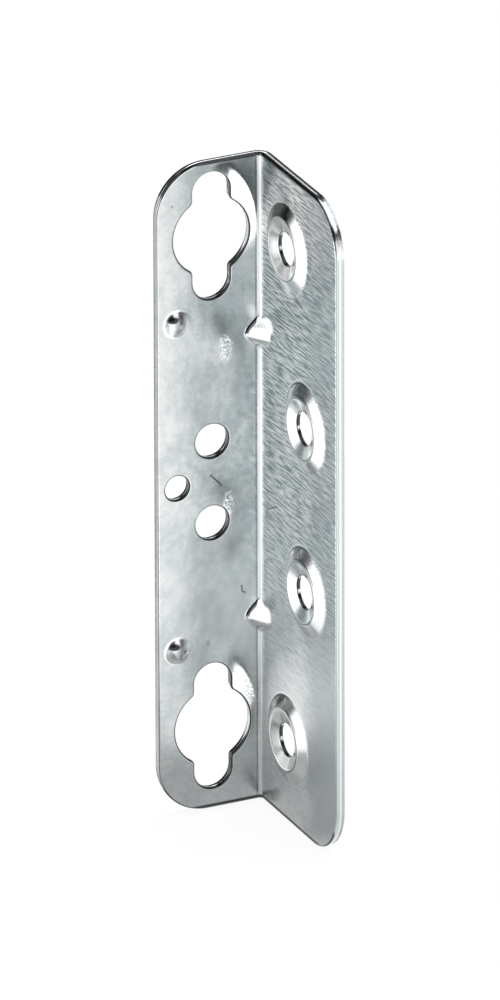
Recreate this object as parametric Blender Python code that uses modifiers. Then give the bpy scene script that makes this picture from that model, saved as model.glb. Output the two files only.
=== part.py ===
"""Bed corner bracket, one piece of pressed and folded sheet steel.

Blender 4.5, metres, +Z up. A narrow flange with two double keyholes hooks onto the headboard, and a
wide flange with four embossed screw seats is screwed to the side rail. The fold between them runs
along Z and is stiffened by two gussets pressed into it.

The origin is on the outer face of the rail flange, halfway across it and level with the middle of the
hole pattern. The rail flange faces +X, the hook flange faces +Y, and the inside of the angle looks
towards -X and -Y.
"""
import math

import bmesh
import bpy
from mathutils import Matrix

# Sheet and fold
SHEET = 0.0018
BEND_INSIDE = 0.0007
CORNER_RADIUS = 0.0098
PITCH = 0.032
TOP_LIP = 0.0021
BOTTOM_LIP = 0.0039
RAIL_WIDTH = 0.0332

# Double keyholes in the hook flange
KEY_HEAD = 0.0149
KEY_SLOT = 0.0073
KEY_LENGTH = 0.0246
KEY_NECK_RADIUS = 0.0012
KEY_TO_FOLD = 0.0022
KEY_TO_EDGE = 0.0034

# Round holes and pips in the hook flange
PIN_HOLE = 0.0065
GUIDE_HOLE = 0.0047
GUIDE_TO_EDGE = 0.0016
PIP_WIDTH = 0.0050
PIP_HEIGHT = 0.0006
PIP_WALL = 0.0015
PIP_DIMPLE_INSET = 0.0003

# Embossed screw seats in the rail flange
SEAT_FOOT = 0.0168
SEAT_RIM_OUTER = 0.0118
SEAT_RIM_INNER = 0.0111
SEAT_RISE = 0.00115
SEAT_HOLE = 0.0062
SEAT_HOLE_RISE = 0.00024
SEAT_LAND = 0.0007
SEAT_WALL = 0.0013
SEAT_RIM_ROUNDING = 0.0002
SEAT_DISH_ROUNDING = 0.0008
SEAT_TO_FOLD = 0.0029
SEAT_TO_EDGE = 0.0043

# Gussets across the fold
GUSSET_LEVEL = 0.0277
GUSSET_LENGTH = 0.0066
GUSSET_ON_HOOK = 0.0030
GUSSET_ON_RAIL = 0.0044
GUSSET_ROUNDING = 0.5

# Facets
BEND_STEPS = 8
CORNER_STEPS = 10
ROUND_STEPS = 40
FILLET_STEPS = 4
GUSSET_STEPS = 10
FILLET_SHARE = 0.45
SMOOTH_ANGLE = math.radians(18)

# Overlap of joined solids and reach of cutters past the sheet
EMBED = 0.0006
REACH = 0.0012
FOOT_SINK = 0.00005
MERGE = 0.000001

BEND_OUTSIDE = BEND_INSIDE + SHEET
KEY_ROW = SHEET + KEY_TO_FOLD + KEY_HEAD / 2
HOOK_WIDTH = KEY_ROW + KEY_HEAD / 2 + KEY_TO_EDGE
GUIDE_ROW = HOOK_WIDTH - GUIDE_TO_EDGE - GUIDE_HOLE / 2
NEAR_SEAT_ROW = SHEET + SEAT_TO_FOLD + SEAT_FOOT / 2
FAR_SEAT_ROW = RAIL_WIDTH - SEAT_TO_EDGE - SEAT_FOOT / 2
KEY_LEVEL = 1.5 * PITCH
NEAR_SEAT_LEVEL = 1.5 * PITCH
FAR_SEAT_LEVEL = PITCH / 2
PIN_LEVEL = PITCH / 4
TOP = KEY_LEVEL + KEY_LENGTH / 2 + TOP_LIP
BOTTOM = -KEY_LEVEL - KEY_LENGTH / 2 - BOTTOM_LIP

# Each flange's frame has its origin on the outer corner of the fold, +Y up, and +Z from the outer face
# to the inner one. The hook flange lies at negative local x, and the rail flange at positive local x.
FOLD_Y = RAIL_WIDTH / 2
HOOK_FRAME = Matrix(((1, 0, 0, 0), (0, 0, -1, FOLD_Y), (0, 1, 0, 0), (0, 0, 0, 1)))
RAIL_FRAME = Matrix(((0, 0, -1, 0), (-1, 0, 0, FOLD_Y), (0, 1, 0, 0), (0, 0, 0, 1)))


def clear_scene():
    for item in list(bpy.data.objects):
        bpy.data.objects.remove(item, do_unlink=True)


def new_collection(name):
    collection = bpy.data.collections.new(name)
    bpy.context.scene.collection.children.link(collection)
    return collection


def make_material():
    material = bpy.data.materials.new("zinc_plated_steel")
    material.use_nodes = True
    shader = material.node_tree.nodes["Principled BSDF"]
    shader.inputs["Base Color"].default_value = (0.60, 0.62, 0.63, 1.0)
    shader.inputs["Metallic"].default_value = 1.0
    shader.inputs["Roughness"].default_value = 0.32
    return material


def arc(centre, radius, start, end, steps):
    """Points on a circle from angle start to angle end, in radians, both ends included."""
    angles = [start + (end - start) * i / steps for i in range(steps + 1)]
    return [(centre[0] + radius * math.cos(a), centre[1] + radius * math.sin(a)) for a in angles]


def round_corner(before, corner, after, radius, steps):
    """The corner of a polyline replaced by an arc that touches both of its sides."""
    to_before = (before[0] - corner[0], before[1] - corner[1])
    to_after = (after[0] - corner[0], after[1] - corner[1])
    length_before = math.hypot(*to_before)
    length_after = math.hypot(*to_after)
    a = (to_before[0] / length_before, to_before[1] / length_before)
    b = (to_after[0] / length_after, to_after[1] / length_after)
    half_angle = math.acos(max(-1.0, min(1.0, a[0] * b[0] + a[1] * b[1]))) / 2
    radius = min(radius, FILLET_SHARE * min(length_before, length_after) * math.tan(half_angle))
    bisector = (a[0] + b[0], a[1] + b[1])
    reach = radius / math.sin(half_angle) / math.hypot(*bisector)
    centre = (corner[0] + bisector[0] * reach, corner[1] + bisector[1] * reach)
    tangent = radius / math.tan(half_angle)
    start = math.atan2(corner[1] + a[1] * tangent - centre[1], corner[0] + a[0] * tangent - centre[0])
    end = math.atan2(corner[1] + b[1] * tangent - centre[1], corner[0] + b[0] * tangent - centre[0])
    turn = (end - start + math.pi) % (2 * math.pi) - math.pi
    return arc(centre, radius, start, start + turn, steps)


def rounded_profile(corners):
    """A profile from (r, z, rounding radius) corners; a radius of 0 keeps the corner sharp."""
    points = []
    for i, (r, z, radius) in enumerate(corners):
        if radius == 0:
            points.append((r, z))
        else:
            points += round_corner(corners[i - 1][:2], (r, z), corners[i + 1][:2], radius, FILLET_STEPS)
    return points


def link_mesh(name, mesh, placement, collection):
    item = bpy.data.objects.new(name, mesh)
    item.matrix_world = placement
    collection.objects.link(item)
    return item


def prism(name, outline, thickness, placement, collection):
    """A flat outline as a solid, centred on its own plane."""
    curve = bpy.data.curves.new(name, "CURVE")
    curve.dimensions = "2D"
    curve.fill_mode = "BOTH"
    curve.extrude = thickness / 2
    spline = curve.splines.new("POLY")
    spline.points.add(len(outline) - 1)
    for point, (x, y) in zip(spline.points, outline):
        point.co = (x, y, 0, 1)
    spline.use_cyclic_u = True
    guide = link_mesh(name + "_outline", curve, placement, collection)
    depsgraph = bpy.context.evaluated_depsgraph_get()
    mesh = bpy.data.meshes.new_from_object(guide.evaluated_get(depsgraph))
    bpy.data.objects.remove(guide, do_unlink=True)
    cage = bmesh.new()
    cage.from_mesh(mesh)
    bmesh.ops.remove_doubles(cage, verts=cage.verts, dist=MERGE)
    bmesh.ops.recalc_face_normals(cage, faces=cage.faces)
    cage.to_mesh(mesh)
    cage.free()
    return link_mesh(name, mesh, placement, collection)


def turned(name, profile, placement, collection):
    """A profile of (r, z) points, from the top of the axis down its outer side, turned about local Z."""
    mesh = bpy.data.meshes.new(name)
    vertices = [(r, 0, z) for r, z in profile]
    mesh.from_pydata(vertices, [(i, i + 1) for i in range(len(vertices) - 1)], [])
    item = link_mesh(name, mesh, placement, collection)
    screw = item.modifiers.new("turn", "SCREW")
    screw.axis = "Z"
    screw.steps = ROUND_STEPS
    screw.render_steps = ROUND_STEPS
    screw.use_merge_vertices = True
    screw.merge_threshold = MERGE
    return item


def drill(name, diameter, frame, x, y, collection):
    """A round cutter through the whole sheet."""
    cage = bmesh.new()
    bmesh.ops.create_cone(cage, cap_ends=True, segments=ROUND_STEPS, radius1=diameter / 2,
                          radius2=diameter / 2, depth=SHEET + 2 * REACH)
    mesh = bpy.data.meshes.new(name)
    cage.to_mesh(mesh)
    cage.free()
    return link_mesh(name, mesh, frame @ Matrix.Translation((x, y, SHEET / 2)), collection)


def angle_section():
    """The folded section in world x and y: outer side first, then back along the inner side."""
    hook_end = -HOOK_WIDTH
    rail_end = FOLD_Y - RAIL_WIDTH
    fold_centre = (-BEND_OUTSIDE, FOLD_Y - BEND_OUTSIDE)
    outer = arc(fold_centre, BEND_OUTSIDE, math.pi / 2, 0, BEND_STEPS)
    inner = arc(fold_centre, BEND_INSIDE, 0, math.pi / 2, BEND_STEPS)
    ends = [(0, rail_end), (-SHEET, rail_end)]
    return [(hook_end, FOLD_Y)] + outer + ends + inner + [(hook_end, FOLD_Y - SHEET)]


def keyhole_outline():
    """A round head with a slot above and below it and softened necks, centred on (0, 0)."""
    head = KEY_HEAD / 2
    slot = KEY_SLOT / 2
    neck_x = slot + KEY_NECK_RADIUS
    neck_y = math.sqrt((head + KEY_NECK_RADIUS) ** 2 - neck_x ** 2)
    neck_angle = math.atan2(neck_y, neck_x)
    head_arc = arc((0, 0), head, 0, neck_angle, CORNER_STEPS)
    neck_arc = arc((neck_x, neck_y), KEY_NECK_RADIUS, neck_angle + math.pi, math.pi, FILLET_STEPS)
    end_arc = arc((0, KEY_LENGTH / 2 - slot), slot, 0, math.pi / 2, CORNER_STEPS)
    quarter = head_arc + neck_arc[1:] + end_arc
    half = quarter + [(-x, y) for x, y in reversed(quarter[:-1])]
    return half + [(x, -y) for x, y in reversed(half[1:-1])]


def corner_outline(x, y, side_x, side_y):
    """What is cut off a square corner at (x, y) to round it; the sides point away from the sheet."""
    centre = (x - side_x * CORNER_RADIUS, y - side_y * CORNER_RADIUS)
    quarter = arc((0, 0), CORNER_RADIUS, 0, math.pi / 2, CORNER_STEPS)
    rim = [(centre[0] + side_x * px, centre[1] + side_y * py) for px, py in quarter]
    far_x = x + side_x * REACH
    far_y = y + side_y * REACH
    return [(far_x, centre[1])] + rim + [(centre[0], far_y), (far_x, far_y)]


def seat_dome_profile():
    """The raised boss of a screw seat, rooted inside the sheet."""
    top = SHEET + SEAT_RISE
    foot = SEAT_FOOT / 2
    root = SHEET - EMBED
    return rounded_profile([
        (0, top, 0),
        (SEAT_RIM_OUTER / 2, top, SEAT_RIM_ROUNDING),
        (foot, SHEET - FOOT_SINK, 0),
        (foot, root, 0),
        (0, root, 0),
    ])


def seat_cutter_profile():
    """The countersink, the hole and the dish behind them, as one cutter through the boss."""
    rim = SEAT_RIM_INNER / 2
    hole = SEAT_HOLE / 2
    rim_level = SHEET + SEAT_RISE
    hole_level = SHEET + SEAT_HOLE_RISE
    spread = (rim - hole) / (rim_level - hole_level)
    dish_level = hole_level - SEAT_LAND
    dish_floor = (SEAT_RIM_OUTER - SEAT_WALL) / 2
    dish_mouth = SEAT_FOOT / 2 - SEAT_WALL
    flare = (dish_mouth - dish_floor) / dish_level
    return rounded_profile([
        (0, rim_level + REACH, 0),
        (rim + spread * REACH, rim_level + REACH, 0),
        (hole, hole_level, 0),
        (hole, dish_level, 0),
        (dish_floor, dish_level, SEAT_DISH_ROUNDING),
        (dish_mouth + flare * REACH, -REACH, 0),
        (0, -REACH, 0),
    ])


def cap_profile(radius, rise, base, root):
    """A shallow spherical cap of the given rise over the level base, rooted at the level root."""
    sphere = (radius ** 2 + rise ** 2) / (2 * rise)
    half_angle = math.asin(radius / sphere)
    cap = arc((0, base + rise - sphere), sphere, math.pi / 2, math.pi / 2 - half_angle, FILLET_STEPS * 2)
    cap[0] = (0, base + rise)
    return cap[:-1] + [(radius, base - FOOT_SINK), (radius, root), (0, root)]


def gusset_solid(name, level, offset, corner_reach, collection):
    """A rounded wedge across the fold, its face offset from the gusset's inner face by offset.

    The face crosses from the hook flange to the rail flange. It is deepest at its rounded crest and runs
    out into the fold above and below it.
    """
    points = []
    half = GUSSET_LENGTH / 2
    slant = math.hypot(GUSSET_ON_HOOK, GUSSET_ON_RAIL)
    inner = (-SHEET, FOLD_Y - SHEET)
    top = math.hypot(1, GUSSET_ROUNDING)
    for i in range(-GUSSET_STEPS, GUSSET_STEPS + 1):
        share = i / GUSSET_STEPS
        depth = (top - math.hypot(share, GUSSET_ROUNDING)) / (top - GUSSET_ROUNDING)
        across = depth - offset * slant / (GUSSET_ON_HOOK * GUSSET_ON_RAIL)
        past = (offset + EMBED) / GUSSET_ON_RAIL
        on_hook = (inner[0] - (across + past) * GUSSET_ON_HOOK, inner[1] + offset + EMBED)
        past = (offset + EMBED) / GUSSET_ON_HOOK
        on_rail = (inner[0] + offset + EMBED, inner[1] - (across + past) * GUSSET_ON_RAIL)
        z = level + share * half
        points += [(*on_hook, z), (*on_rail, z)]
    for z in (level - half, level + half):
        points.append((inner[0] + corner_reach, inner[1] + corner_reach, z))
    cage = bmesh.new()
    for point in points:
        cage.verts.new(point)
    bmesh.ops.convex_hull(cage, input=cage.verts)
    loose = [v for v in cage.verts if not v.link_faces]
    bmesh.ops.delete(cage, geom=loose, context="VERTS")
    bmesh.ops.recalc_face_normals(cage, faces=cage.faces)
    mesh = bpy.data.meshes.new(name)
    cage.to_mesh(mesh)
    cage.free()
    return link_mesh(name, mesh, Matrix.Identity(4), collection)


def seat_places():
    """Each screw seat's place on the rail flange, across and up."""
    return [
        (NEAR_SEAT_ROW, NEAR_SEAT_LEVEL),
        (FAR_SEAT_ROW, FAR_SEAT_LEVEL),
        (FAR_SEAT_ROW, -FAR_SEAT_LEVEL),
        (NEAR_SEAT_ROW, -NEAR_SEAT_LEVEL),
    ]


def add_raised_forms(collection):
    for i, (x, y) in enumerate(seat_places()):
        turned(f"seat_dome_{i}", seat_dome_profile(), RAIL_FRAME @ Matrix.Translation((x, y, 0)), collection)
    pip = cap_profile(PIP_WIDTH / 2, PIP_HEIGHT, SHEET, SHEET - EMBED)
    for i, y in enumerate((PITCH, -PITCH)):
        turned(f"pip_{i}", pip, HOOK_FRAME @ Matrix.Translation((-GUIDE_ROW, y, 0)), collection)
    for i, level in enumerate((GUSSET_LEVEL, -GUSSET_LEVEL)):
        gusset_solid(f"gusset_{i}", level, 0, EMBED, collection)


def add_corner_cutters(collection):
    through = SHEET + 2 * REACH
    for name, frame, x, side_x in (("hook", HOOK_FRAME, -HOOK_WIDTH, -1), ("rail", RAIL_FRAME, RAIL_WIDTH, 1)):
        for end, y, side_y in (("top", TOP, 1), ("bottom", BOTTOM, -1)):
            outline = corner_outline(x, y, side_x, side_y)
            place = frame @ Matrix.Translation((0, 0, SHEET / 2))
            prism(f"{name}_{end}_corner", outline, through, place, collection)


def add_hook_cutters(collection):
    through = SHEET + 2 * REACH
    for i, y in enumerate((KEY_LEVEL, -KEY_LEVEL)):
        place = HOOK_FRAME @ Matrix.Translation((-KEY_ROW, y, SHEET / 2))
        prism(f"keyhole_{i}", keyhole_outline(), through, place, collection)
    for i, y in enumerate((PIN_LEVEL, -PIN_LEVEL)):
        drill(f"pin_hole_{i}", PIN_HOLE, HOOK_FRAME, -KEY_ROW, y, collection)
    drill("guide_hole", GUIDE_HOLE, HOOK_FRAME, -GUIDE_ROW, 0, collection)
    dimple_depth = SHEET + PIP_HEIGHT - PIP_WALL
    dimple = cap_profile(PIP_WIDTH / 2 - PIP_DIMPLE_INSET, dimple_depth, 0, -REACH)
    for i, y in enumerate((PITCH, -PITCH)):
        turned(f"pip_dimple_{i}", dimple, HOOK_FRAME @ Matrix.Translation((-GUIDE_ROW, y, 0)), collection)


def add_rail_cutters(collection):
    for i, (x, y) in enumerate(seat_places()):
        place = RAIL_FRAME @ Matrix.Translation((x, y, 0))
        turned(f"screw_seat_{i}", seat_cutter_profile(), place, collection)


def add_groove_cutters(collection):
    for i, level in enumerate((GUSSET_LEVEL, -GUSSET_LEVEL)):
        gusset_solid(f"gusset_groove_{i}", level, SHEET, SHEET + REACH, collection)


def add_boolean(item, operation, collection):
    step = item.modifiers.new(operation.lower(), "BOOLEAN")
    step.operation = operation
    step.operand_type = "COLLECTION"
    step.collection = collection
    step.solver = "EXACT"


def smooth_by_angle():
    """A node tree that shades every face smooth and keeps the edges that turn past SMOOTH_ANGLE sharp."""
    tree = bpy.data.node_groups.new("smooth_by_angle", "GeometryNodeTree")
    tree.interface.new_socket("Mesh", in_out="INPUT", socket_type="NodeSocketGeometry")
    tree.interface.new_socket("Mesh", in_out="OUTPUT", socket_type="NodeSocketGeometry")
    start = tree.nodes.new("NodeGroupInput")
    faces = tree.nodes.new("GeometryNodeSetShadeSmooth")
    turn = tree.nodes.new("GeometryNodeInputMeshEdgeAngle")
    steep = tree.nodes.new("FunctionNodeCompare")
    steep.operation = "GREATER_THAN"
    steep.inputs["B"].default_value = SMOOTH_ANGLE
    edges = tree.nodes.new("GeometryNodeSetShadeSmooth")
    edges.domain = "EDGE"
    edges.inputs["Shade Smooth"].default_value = False
    end = tree.nodes.new("NodeGroupOutput")
    tree.links.new(start.outputs["Mesh"], faces.inputs["Geometry"])
    tree.links.new(faces.outputs["Geometry"], edges.inputs["Geometry"])
    tree.links.new(turn.outputs["Unsigned Angle"], steep.inputs["A"])
    tree.links.new(steep.outputs["Result"], edges.inputs["Selection"])
    tree.links.new(edges.outputs["Geometry"], end.inputs["Mesh"])
    return tree


def hide_cutters(collection):
    for item in collection.objects:
        item.hide_render = True
        item.display_type = "WIRE"


def main():
    clear_scene()
    parts = new_collection("bed_corner_bracket")
    raised = new_collection("raised_forms")
    cutters = new_collection("cutters")
    middle = Matrix.Translation((0, 0, (TOP + BOTTOM) / 2))
    bracket = prism("bracket", angle_section(), TOP - BOTTOM, middle, parts)
    add_raised_forms(raised)
    add_corner_cutters(cutters)
    add_hook_cutters(cutters)
    add_rail_cutters(cutters)
    add_groove_cutters(cutters)
    hide_cutters(raised)
    hide_cutters(cutters)
    bracket.data.materials.append(make_material())
    add_boolean(bracket, "UNION", raised)
    add_boolean(bracket, "DIFFERENCE", cutters)
    bracket.modifiers.new("shading", "NODES").node_group = smooth_by_angle()


main()
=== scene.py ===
"""Bed corner bracket: one sheet of zinc-plated steel, punched, pressed and folded, in a plain studio.

The bracket is made as the real one is. A flat blank is cut with its holes, a geometry tree presses the
screw seats, pips and gussets into it and folds it, and the finish follows the sheet as it was rolled.
Lengths are in metres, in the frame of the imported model.
"""
from __future__ import annotations

import logging
import math
from dataclasses import asdict, dataclass
from enum import Enum
from functools import reduce
from typing import Any, Iterable

import bpy
import numpy as np
from mathutils import Matrix, Vector
from mathutils.geometry import delaunay_2d_cdt


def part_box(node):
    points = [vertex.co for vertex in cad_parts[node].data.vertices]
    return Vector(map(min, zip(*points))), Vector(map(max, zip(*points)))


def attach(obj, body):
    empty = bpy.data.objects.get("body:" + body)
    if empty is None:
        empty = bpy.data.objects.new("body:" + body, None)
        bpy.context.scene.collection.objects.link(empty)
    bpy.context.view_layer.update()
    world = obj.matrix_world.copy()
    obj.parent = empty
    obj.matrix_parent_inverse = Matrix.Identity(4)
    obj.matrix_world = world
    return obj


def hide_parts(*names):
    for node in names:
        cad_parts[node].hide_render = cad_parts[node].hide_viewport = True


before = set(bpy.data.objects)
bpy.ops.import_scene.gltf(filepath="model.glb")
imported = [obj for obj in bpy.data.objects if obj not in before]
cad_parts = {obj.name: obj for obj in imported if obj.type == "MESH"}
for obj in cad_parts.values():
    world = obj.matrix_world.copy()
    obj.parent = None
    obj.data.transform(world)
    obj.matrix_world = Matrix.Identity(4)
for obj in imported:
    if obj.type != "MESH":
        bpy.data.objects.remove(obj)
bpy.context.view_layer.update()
LOG = logging.getLogger("bed_corner_bracket")

MM = 0.001
NODE = "bracket"
BODY = "root"
BLANK_ATTRIBUTE = "blank"
RAISED_ATTRIBUTE = "raised"
CUT_ATTRIBUTE = "cut"
WHITE = (1.0, 1.0, 1.0, 1.0)

Place = tuple[float, float]
Point = tuple[float, float, float]
Colour = tuple[float, float, float, float]


class Value:
    """A number socket of a node tree that can be used in a Python expression."""

    def __init__(self, graph: Graph, socket: bpy.types.NodeSocket) -> None:
        """Wrap an output socket that carries a number."""
        self.graph = graph
        self.socket = socket

    def _math(self, operation: str, *operands: Any) -> Value:
        """Add one Math node.

        Args:
            operation: the node's operation.
            *operands: its inputs in order, numbers or values.

        Returns:
            The node's result.
        """
        inputs = dict(enumerate(operands))
        node = self.graph.node("ShaderNodeMath", {"operation": operation}, inputs)
        return Value(self.graph, node.outputs[0])

    def __add__(self, other: Any) -> Value:
        """Sum."""
        return self._math("ADD", self, other)

    def __radd__(self, other: Any) -> Value:
        """Sum with a number on the left."""
        return self._math("ADD", other, self)

    def __sub__(self, other: Any) -> Value:
        """Difference."""
        return self._math("SUBTRACT", self, other)

    def __rsub__(self, other: Any) -> Value:
        """Difference with a number on the left."""
        return self._math("SUBTRACT", other, self)

    def __mul__(self, other: Any) -> Value:
        """Product."""
        return self._math("MULTIPLY", self, other)

    def __rmul__(self, other: Any) -> Value:
        """Product with a number on the left."""
        return self._math("MULTIPLY", other, self)

    def __truediv__(self, other: Any) -> Value:
        """Quotient."""
        return self._math("DIVIDE", self, other)

    def __rtruediv__(self, other: Any) -> Value:
        """Quotient with a number on the left."""
        return self._math("DIVIDE", other, self)

    def __abs__(self) -> Value:
        """Size without sign."""
        return self._math("ABSOLUTE", self)

    def low(self, other: Any) -> Value:
        """The lower of two values."""
        return self._math("MINIMUM", self, other)

    def high(self, other: Any) -> Value:
        """The higher of two values."""
        return self._math("MAXIMUM", self, other)

    def over(self, other: Any) -> Value:
        """1 where this value is higher than the other, else 0."""
        return self._math("GREATER_THAN", self, other)

    def soft_low(self, other: Any, blend: Any) -> Value:
        """The lower of two values, rounded over the width blend."""
        return self._math("SMOOTH_MIN", self, other, blend)

    def soft_high(self, other: Any, blend: Any) -> Value:
        """The higher of two values, rounded over the width blend."""
        return self._math("SMOOTH_MAX", self, other, blend)

    def sine(self) -> Value:
        """Sine of an angle in radians."""
        return self._math("SINE", self)

    def cosine(self) -> Value:
        """Cosine of an angle in radians."""
        return self._math("COSINE", self)

    def root(self) -> Value:
        """Square root."""
        return self._math("SQRT", self)

    def rise(self, start: float, end: float) -> Value:
        """A smooth step.

        Args:
            start: where the step is 0.
            end: where the step is 1; it may be lower than start.

        Returns:
            A value from 0 to 1.
        """
        settings = {"interpolation_type": "SMOOTHSTEP", "clamp": True}
        inputs = {"Value": self, "From Min": start, "From Max": end}
        node = self.graph.node("ShaderNodeMapRange", settings, inputs)
        return Value(self.graph, node.outputs[0])

    def rise_mm(self, start: float, end: float) -> Value:
        """A smooth step between two lengths in millimetres."""
        return self.rise(start * MM, end * MM)


def highest(values: Iterable[Value]) -> Value:
    """The highest of several values."""
    return reduce(Value.high, values)


class Graph:
    """Adds nodes to one shader or geometry tree."""

    def __init__(self, tree: bpy.types.NodeTree) -> None:
        """Empty a tree and keep it."""
        self.tree = tree
        tree.nodes.clear()

    def node(self, kind: str, settings: dict[str, Any] | None = None,
             inputs: dict[Any, Any] | None = None) -> bpy.types.Node:
        """Add one node.

        Args:
            kind: the node's type name.
            settings: its properties, set before any socket.
            inputs: values or links by socket name or number.

        Returns:
            The new node.
        """
        node = self.tree.nodes.new(kind)
        for name, setting in (settings or {}).items():
            setattr(node, name, setting)
        for key, content in (inputs or {}).items():
            self.feed(node.inputs[key], content)
        return node

    def feed(self, socket: bpy.types.NodeSocket, content: Any) -> None:
        """Link or set one input socket.

        Args:
            socket: the input.
            content: a Value, an output socket, or a plain value.
        """
        if isinstance(content, Value):
            content = content.socket
        if isinstance(content, bpy.types.NodeSocket):
            self.tree.links.new(content, socket)
        else:
            socket.default_value = content

    def value(self, kind: str, settings: dict[str, Any] | None = None,
              inputs: dict[Any, Any] | None = None, output: Any = 0) -> Value:
        """Add one node and wrap one of its outputs, given by name or number."""
        return Value(self, self.node(kind, settings, inputs).outputs[output])

    def attribute(self, name: str) -> Value:
        """A number kept on the mesh."""
        return self.value("ShaderNodeAttribute", {"attribute_name": name}, {}, "Fac")

    def split(self, vector: Any) -> list[Value]:
        """The three numbers of a vector."""
        parts = self.node("ShaderNodeSeparateXYZ", {}, {0: vector})
        return [Value(self, socket) for socket in parts.outputs]

    def mix_colour(self, factor: Any, first: Any, second: Any) -> bpy.types.NodeSocket:
        """Mix two colours by the share of the second one."""
        node = self.node("ShaderNodeMix", {"data_type": "RGBA"}, {0: factor, 6: first, 7: second})
        return node.outputs[2]

    def noise(self, place: Any, scale: float, detail: float = 2.0, roughness: float = 0.5) -> Value:
        """Noise around 0.5, with its features per metre and its octaves."""
        inputs = {"Vector": place, "Scale": scale, "Detail": detail, "Roughness": roughness}
        return self.value("ShaderNodeTexNoise", {}, inputs)


def new_object(name: str, data: Any) -> bpy.types.Object:
    """Put an object into the scene.

    Args:
        name: its name.
        data: its mesh, lamp or camera.

    Returns:
        The object.
    """
    item = bpy.data.objects.new(name, data)
    bpy.context.scene.collection.objects.link(item)
    return item


def new_material(name: str) -> tuple[bpy.types.Material, Graph]:
    """Start a node material.

    Args:
        name: its name.

    Returns:
        The material and its empty tree.
    """
    material = bpy.data.materials.new(name)
    material.use_nodes = True
    return material, Graph(material.node_tree)


class Band(Enum):
    """The bands of a cut edge, by the number that marks them on the mesh."""

    FACE = 0.0
    SHEARED = 1.0
    TORN = 2.0


@dataclass(frozen=True)
class Fold:
    """The sheet's thickness and the fold along its length."""

    sheet: float = 1.8 * MM
    bend_inside: float = 0.7 * MM
    bend_columns: int = 14

    @property
    def bend_outside(self) -> float:
        """Radius of the outer face round the fold."""
        return self.bend_inside + self.sheet

    @property
    def bend_length(self) -> float:
        """Length of the fold in the flat, along the middle of the sheet."""
        return (self.bend_inside + self.sheet / 2) * math.pi / 2

    def on_hook(self, row: float) -> float:
        """Blank coordinate of a row on the hook flange, measured from the outer corner."""
        return self.bend_outside - row

    def on_rail(self, row: float) -> float:
        """Blank coordinate of a row on the rail flange, measured from the outer corner."""
        return self.bend_length + row - self.bend_outside


@dataclass(frozen=True)
class Layout:
    """Where the holes and pressed forms stand on the blank."""

    pitch: float = 32.0 * MM
    corner_radius: float = 9.8 * MM
    key_row: float = 11.45 * MM
    key_head: float = 14.9 * MM
    key_slot: float = 7.3 * MM
    key_length: float = 24.6 * MM
    key_neck: float = 1.2 * MM
    pin_hole: float = 6.5 * MM
    guide_row: float = 18.35 * MM
    guide_hole: float = 4.7 * MM
    pip_width: float = 5.0 * MM
    near_seat_row: float = 13.1 * MM
    far_seat_row: float = 20.5 * MM
    seat_foot: float = 16.8 * MM
    seat_hole: float = 6.2 * MM
    gusset_level: float = 27.7 * MM
    gusset_length: float = 6.6 * MM


def arc(centre: Place, radius: float, start: float, end: float, step: float) -> np.ndarray:
    """Points on an arc, both ends included.

    Args:
        centre: the arc's centre.
        radius: its radius.
        start: first angle in radians.
        end: last angle in radians.
        step: longest distance between points.

    Returns:
        An array of points.
    """
    count = max(3, math.ceil(abs(end - start) * radius / step))
    angles = np.linspace(start, end, count + 1)
    return np.stack([centre[0] + radius * np.cos(angles), centre[1] + radius * np.sin(angles)], axis=1)


def line(first: np.ndarray, last: np.ndarray, step: float) -> np.ndarray:
    """Points between two ends, neither included.

    Args:
        first: one end.
        last: the other end.
        step: longest distance between points.

    Returns:
        An array of points.
    """
    count = max(1, math.ceil(np.linalg.norm(last - first) / step))
    shares = np.arange(1, count)[:, None] / count
    return first + (last - first) * shares


@dataclass
class Rim:
    """A closed cut edge of the blank, with the sheet on the left of its direction."""

    points: np.ndarray
    roll: float
    support: float = 0.14 * MM

    def outward(self) -> np.ndarray:
        """Find the way out of the sheet along the edge.

        Returns:
            Unit vectors that point away from the sheet.
        """
        along = np.roll(self.points, -1, axis=0) - np.roll(self.points, 1, axis=0)
        along /= np.linalg.norm(along, axis=1)[:, None]
        return np.stack([along[:, 1], -along[:, 0]], axis=1)

    def inset(self, distance: float) -> np.ndarray:
        """The edge moved into the sheet by a distance."""
        return self.points - self.outward() * distance

    def near(self, places: np.ndarray, reach: float) -> np.ndarray:
        """Which places lie within reach of the edge's points."""
        gaps = np.linalg.norm(places[:, None, :] - self.points[None, :, :], axis=2)
        return gaps.min(axis=1) < reach

    def holds(self, places: np.ndarray) -> np.ndarray:
        """Find which places lie inside the closed line, by the crossings of a level ray.

        Args:
            places: places on the blank.

        Returns:
            True for each place that lies inside.
        """
        inside = np.zeros(len(places), dtype=bool)
        for (x0, y0), (x1, y1) in zip(self.points, np.roll(self.points, -1, axis=0)):
            if y0 == y1:
                continue
            crosses = (places[:, 1] < y0) != (places[:, 1] < y1)
            across = x0 + (places[:, 1] - y0) * (x1 - x0) / (y1 - y0)
            inside ^= crosses & (places[:, 0] < across)
        return inside


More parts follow.
